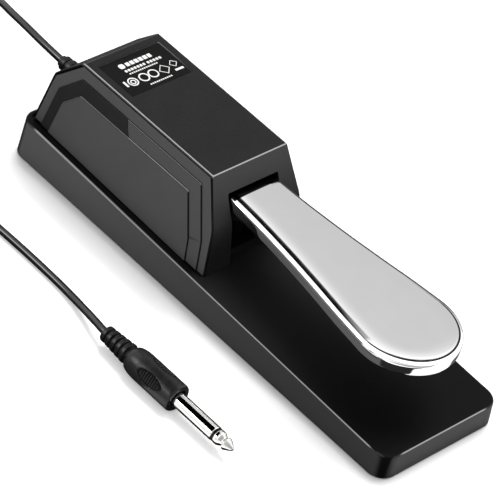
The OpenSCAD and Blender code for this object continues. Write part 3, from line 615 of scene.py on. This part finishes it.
turned_piece("plug_handle_moulded", handle, 160, "plug", "plug_handle", shape=grip)
sleeve = [(2.1, z1 - 5.9), (2.77, z1 - 5.9), (2.77, z1 - 0.05), (3.0, z1 + 0.02), (3.17, z1 + 0.15),
          (3.17, 62.9), (3.12, 63.15), (2.95, 63.28), (2.1, 63.28)]
turned_piece("plug_sleeve_plated", sleeve, 96, "nickel", "plug_sleeve")
ring = [(1.25, z1 - 5.9), (2.04, z1 - 5.9), (2.04, 63.32), (3.0, 63.32), (3.0, 64.48), (1.25, 64.48)]
turned_piece("plug_insulator_ring", rounded_steps(ring, r=0.15), 64, "insulator", "plug_insulator")
tip = [(0.02, 36.0), (1.18, 36.0), (1.18, 64.52), (2.95, 64.53), (3.08, 64.75), (3.1, 65.3), (3.05, 66.1),
       (2.85, 66.7), (1.98, 68.05), (1.93, 68.35), (2.05, 68.55), (2.7, 69.15), (2.75, 69.35), (2.72, 69.6),
       (0.95, 72.7), (0.6, 73.05), (0.02, 73.2)]
turned_piece("plug_tip_turned", rounded_steps(tip, r=0.2), 96, "nickel", "plug_tip")

# strain relief at the rear wall
BOOT_Y, EXIT_Z = 99, 25.3


def in_boot(p):
    return Vector((p[0], BOOT_Y + p[2], EXIT_Z - p[1]))


relief = [(1.64, 0.05), (4.75, 0.05), (4.75, 1.95), (3.45, 2.35), (3.45, 7.35), (4.35, 7.65)]
for i in range(4):
    z, r = 8.4 + 3.3 * i, 4.2 - 0.32 * i
    relief += [(r, z), (r, z + 2.1), (r - 0.8, z + 2.35), (r - 0.85, z + 3.1)]
relief += [(2.4, 21.95), (1.64, 21.95)]
turned_piece("cord_boot_soft", rounded_steps(relief, r=0.3), 64, "boot", "cord_boot", place=in_boot)


# hook-and-loop tie round the coil: a band with rounded corners, its tail lapped on top
TIE_OUT, TIE_TURN = 19, math.radians(30)    # where it crosses the windings: distance and direction from the middle


def in_tie(x, y, z):
    x += TIE_OUT
    c, s = math.cos(TIE_TURN), math.sin(TIE_TURN)
    return Vector((COIL_AT[0] + x * c - y * s, COIL_AT[1] + x * s + y * c, z))


def strip(path, inner, outer, half, ends):
    """A strap along a path of (x, z, normal x, normal z), with its outer edges broken."""
    section = ((inner, -half), (inner, half), (outer - 0.12, half), (outer, half - 0.25), (outer, -half + 0.25),
               (outer - 0.12, -half))
    return lofted([[in_tie(x + nx * d, y, z + nz * d) for d, y in section] for x, z, nx, nz in path], ends)


def tie_band():
    """The closed band and its tail, over a rectangle with corners of radius r."""
    w, low, high, r = 5.3, 0.6, 13.75, 1.6
    path = []
    for cx, cz, a0 in ((w - r, high - r, 0), (-w + r, high - r, 90), (-w + r, low + r, 180), (w - r, low + r, 270)):
        for i in range(7):
            a = math.radians(a0 + 15 * i)
            path.append((cx + r * math.cos(a), cz + r * math.sin(a), math.cos(a), math.sin(a)))
    v, f = strip(path + path[:1], -0.04, 0.42, 3.4, False)
    tail_v, tail_f = strip(path[6:11], 0.42, 0.72, 3.3, True)
    return v + tail_v, f + [tuple(i + len(v) for i in q) for q in tail_f]


v, f = tie_band()
piece("cord_tie_band", v, f, "tie", "base", ["cord_tie"])

# ---------------------------------------------------------------- CAD nodes
# the finish of each node, and for those with rounded edges, the edge's finish and width in millimetres; the lever
# and the return spring get theirs here too, before the pieces that replace them are made
FINISH = {
    "base_shell": "base", "base_plate": "steel", "rubber_mat": "rubber", "housing_shell": "shell",
    "cheek_left": "cheek", "cheek_right": "cheek", "trim_left": "trim", "trim_right": "trim",
    "label_plate": "label", "lever_carrier": "carrier", "lever_screws": "steel", "pivot_bushes": "nylon",
    "pivot_pin": "steel", "pin_clips": "steel", "pivot_bracket": "steel", "bracket_screws": "steel",
    "return_spring": "spring", "up_stop": "rubber", "down_stop": "rubber", "circuit_board": "board",
    "board_screws": "steel", "microswitch": "switch", "switch_plunger": "red", "polarity_switch": "steel",
    "polarity_knob": "switch", "cable_clamp": "carrier", "clamp_screws": "steel", "signal_wires": "wire",
    "housing_screws": "steel", "plate_screws": "steel", "cord_entry": "cord", "pedal_lever": "chrome"}
EDGES = {"housing_shell": ("edge", 0.35), "cheek_left": ("cheek_edge", 0.22), "cheek_right": ("cheek_edge", 0.22),
         "trim_left": ("trim", 0.06), "trim_right": ("trim", 0.06), "label_plate": ("label", 0.1),
         "polarity_knob": ("switch", 0.15), "lever_carrier": ("carrier", 0.25), "cable_clamp": ("carrier", 0.2),
         "microswitch": ("switch", 0.2), "pivot_bracket": ("steel", 0.15), "rubber_mat": ("rubber", 0.25)}
BEVEL_FROM, SOFT_ANGLE, BASE_SOFT_ANGLE = 29, 33, 50         # degrees
WELD = 2e-6


def smooth_group(name, degrees):
    """Geometry nodes that shade a mesh smooth across every edge blunter than the angle."""
    g = bpy.data.node_groups.new(name, "GeometryNodeTree")
    g.interface.new_socket("Geometry", in_out="INPUT", socket_type="NodeSocketGeometry")
    g.interface.new_socket("Geometry", in_out="OUTPUT", socket_type="NodeSocketGeometry")
    start, end = g.nodes.new("NodeGroupInput"), g.nodes.new("NodeGroupOutput")
    plain = g.nodes.new("GeometryNodeRemoveAttribute")
    plain.inputs["Name"].default_value = "custom_normal"
    angle = g.nodes.new("GeometryNodeInputMeshEdgeAngle")
    blunt = g.nodes.new("FunctionNodeCompare")
    blunt.data_type, blunt.operation = "FLOAT", "LESS_THAN"
    blunt.inputs["B"].default_value = math.radians(degrees)
    faces, edges = (g.nodes.new("GeometryNodeSetShadeSmooth") for _ in range(2))
    faces.domain, edges.domain = "FACE", "EDGE"
    link = g.links.new
    link(start.outputs[0], plain.inputs[0])
    link(plain.outputs[0], faces.inputs[0])
    link(faces.outputs[0], edges.inputs[0])
    link(angle.outputs["Unsigned Angle"], blunt.inputs["A"])
    link(blunt.outputs[0], edges.inputs["Shade Smooth"])
    link(edges.outputs[0], end.inputs[0])
    return g


soft = {d: smooth_group("soft_%d" % d, d) for d in (SOFT_ANGLE, BASE_SOFT_ANGLE)}
for name, ob in node.items():
    if ob.hide_render:
        continue
    ob.data.materials.clear()
    ob.data.materials.append(M[FINISH[name]])
    weld = ob.modifiers.new("weld", "WELD")
    weld.merge_threshold = WELD
    if name in EDGES:
        m, width = EDGES[name]
        ob.data.materials.append(M[m])
        bevel = ob.modifiers.new("bevel", "BEVEL")
        bevel.width, bevel.segments, bevel.limit_method = width * MM, 2, "ANGLE"
        bevel.angle_limit, bevel.use_clamp_overlap, bevel.material = math.radians(BEVEL_FROM), False, 1
    ob.modifiers.new("soft", "NODES").node_group = soft[BASE_SOFT_ANGLE if name == "base_shell" else SOFT_ANGLE]
    even = ob.modifiers.new("even", "WEIGHTED_NORMAL")
    even.keep_sharp, even.weight = True, 80

# ---------------------------------------------------------------- lever
# in the lever's own level frame: top plane, centre and radius of the foot, half width of the neck, rear end
LEVER_TOP, FOOT_Y, FOOT_R, NECK_HW, LEVER_REAR = 44.7, -77, 22.8, 12.9, 34
FLARE = [(14, 0.0), (6, 0.22), (-2, 0.65), (-10, 1.3), (-20, 2.32), (-30, 3.5), (-38, 4.6), (-46, 5.75),
         (-53, 6.85), (-60, 7.95)]          # y, and how much wider the half width is there than the neck's
PIVOT, REST_TILT = Vector((0, 82, 38)), math.radians(1)
tilt = Matrix.Translation(PIVOT) @ Matrix.Rotation(REST_TILT, 4, "X") @ Matrix.Translation(-PIVOT)


def lever_outline(d):
    """Plan of the lever inset by d: square neck, hollow flare, round foot."""
    r = FOOT_R - d
    side = [Vector((NECK_HW, LEVER_REAR - 0.05 - i * 3)) for i in range(6)]
    side += [Vector((NECK_HW + w, y)) for y, w in FLARE]
    last = side[-1] - Vector((0, FOOT_Y))
    a = math.atan2(last.y, last.x) - math.acos(FOOT_R / last.length)
    side.append(Vector((FOOT_R * math.cos(a), FOOT_Y + FOOT_R * math.sin(a))))
    line = [Vector(p[:2]) for p in smooth_line([(*p, 0) for p in side], 3)]
    inset = []
    for k, p in enumerate(line):
        along = (line[min(k + 1, len(line) - 1)] - line[max(k - 1, 0)]).normalized()
        if k == len(line) - 1:
            along = Vector((math.sin(a), -math.cos(a)))
        inset.append(p + Vector((along.y, -along.x)) * d)
    inset[0].y -= d
    arc = [Vector((r * math.cos(b), FOOT_Y + r * math.sin(b)))
           for b in (a - (a + PI / 2) * i / 48 for i in range(1, 49))]
    half = inset + arc
    return half + [Vector((-p.x, p.y)) for p in reversed(half[:-1])]


# inset and height below the top plane, from the hollow underside over the rim to the crowned top
section = [(10.0, -2.2), (2.9, -2.2), (2.35, -2.35), (2.05, -2.7), (2.0, -3.4), (1.75, -5.5), (1.6, -5.75),
           (1.3, -5.88), (0.5, -5.9), (0.25, -5.86), (0.1, -5.72), (0.02, -5.45), (0.0, -5.0), (0.0, -4.0),
           (0.0, -3.0), (0.0, -2.2), (0.02, -1.85), (0.08, -1.57), (0.18, -1.33), (0.32, -1.12), (0.5, -0.965),
           (0.72, -0.85), (1.0, -0.755), (1.35, -0.665), (1.7, -0.585), (2.1, -0.51), (2.5, -0.445), (2.9, -0.39),
           (3.4, -0.325), (4.0, -0.255), (4.8, -0.175), (5.8, -0.1), (7.0, -0.04), (8.4, -0.01), (9.8, -0.001)]
rings = [[tilt @ Vector((p.x, p.y, LEVER_TOP + z)) for p in lever_outline(d)] for d, z in section]
v, f = lofted(rings)
piece("pedal_lever_plated", v, f, "chrome", "pedal", ["pedal_lever"], smooth=40)

# ---------------------------------------------------------------- return spring: a wire helix, on a mesh of its own
SPRING_Y, SPRING_R, WIRE_R, SPRING_Z, TURNS, TURN_STEPS, WIRE_SIDES = 38, 5.3, 0.7, (18.45, 35.1), 8, 36, 12
end_pitch = 2 * WIRE_R + 0.06
rise = SPRING_Z[1] - SPRING_Z[0] - 2 * WIRE_R
mid_pitch = (rise - 2 * end_pitch) / (TURNS - 2)
rings = []
for i in range(TURNS * TURN_STEPS + 1):
    turn = i / TURN_STEPS
    z = min(turn, 1) * end_pitch + min(max(turn - 1, 0), TURNS - 2) * mid_pitch
    z += max(turn - TURNS + 1, 0) * end_pitch
    out = Vector((math.cos(2 * PI * turn), math.sin(2 * PI * turn), 0))
    centre = Vector((0, SPRING_Y, SPRING_Z[0] + WIRE_R + z)) + out * SPRING_R
    rings.append([centre + (out * math.cos(b) + Vector((0, 0, math.sin(b)))) * WIRE_R * 0.985
                  for b in (2 * PI * k / WIRE_SIDES for k in range(WIRE_SIDES))])
v, f = lofted(rings)
spring = piece("return_spring_wire", v, f, "spring", "base", ["return_spring"], smooth=60)
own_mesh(spring)

# ---------------------------------------------------------------- label print: plain bars and shapes only
LABEL, INK = Vector((0, LABEL_Y, 52.75)), 0.035
v, f = [], []


def patch(points):
    """A thin inked patch with its outline counter-clockwise, in the label's own x, y."""
    k, n = len(v), len(points)
    v.extend(LABEL + Vector((x, y, 0.0)) for x, y in points)
    v.extend(LABEL + Vector((x, y, INK)) for x, y in points)
    f.append(tuple(range(k + n - 1, k - 1, -1)))
    f.append(tuple(range(k + n, k + 2 * n)))
    f.extend((k + i, k + (i + 1) % n, k + n + (i + 1) % n, k + n + i) for i in range(n))


def bar(x, y, w, h, r):
    """A block with its lower left corner at x, y and corners of radius r."""
    r = min(r, w / 2 - 0.01, h / 2 - 0.01)
    left, low, over, high = x + r, y + r, x + w - r, y + h - r
    out = []
    for cx, cy, a0 in ((over, high, 0), (left, high, 90), (left, low, 180), (over, low, 270)):
        out += [(cx + r * math.cos(a), cy + r * math.sin(a)) for a in (math.radians(a0 + 30 * i) for i in range(4))]
    patch(out)


def hoop(x, y, r0, r1, n=28):
    """A thin inked ring, or with n = 4 a square standing on its corner."""
    k = len(v)
    for i in range(n):
        c, d = math.cos(2 * PI * i / n), math.sin(2 * PI * i / n)
        v.extend(LABEL + Vector((x + r * c, y + r * d, z)) for r, z in ((r0, 0), (r1, 0), (r1, INK), (r0, INK)))
    for i in range(n):
        p, q = k + 4 * i, k + 4 * ((i + 1) % n)
        f.extend((p + j, q + j, q + (j + 1) % 4, p + (j + 1) % 4) for j in range(4))


def blocks(x, y, w, h, gap, count):
    """A row of equal plain blocks in place of a line of print."""
    for i in range(count):
        bar(x + i * (w + gap), y, w, h, 0.2)


bar(-8.8, 4.7, 2.7, 2.7, 0.9)
blocks(-5.2, 5.0, 1.85, 2.1, 0.5, 6)
blocks(-8.3, 2.3, 1.15, 1.3, 0.45, 7)
blocks(3.6, 2.3, 1.15, 1.3, 0.45, 5)
blocks(-7.6, 0.6, 0.75, 0.75, 0.35, 14)
bar(-13.9, -4.9, 1.0, 3.4, 0.3)
hoop(-9.6, -3.4, 0.8, 1.3)
for x in (-9.6, -3.6, 1.4):
    hoop(x, -3.3, 1.85, 2.45)
hoop(7.3, -3.5, 2.4, 2.85, 4)
hoop(13.0, -2.4, 1.7, 2.1, 4)
bar(11.0, -6.7, 4.4, 1.1, 0.2)
blocks(-4.2, -8.3, 0.75, 0.75, 0.35, 11)
piece("label_print", v, f, "print", "base")
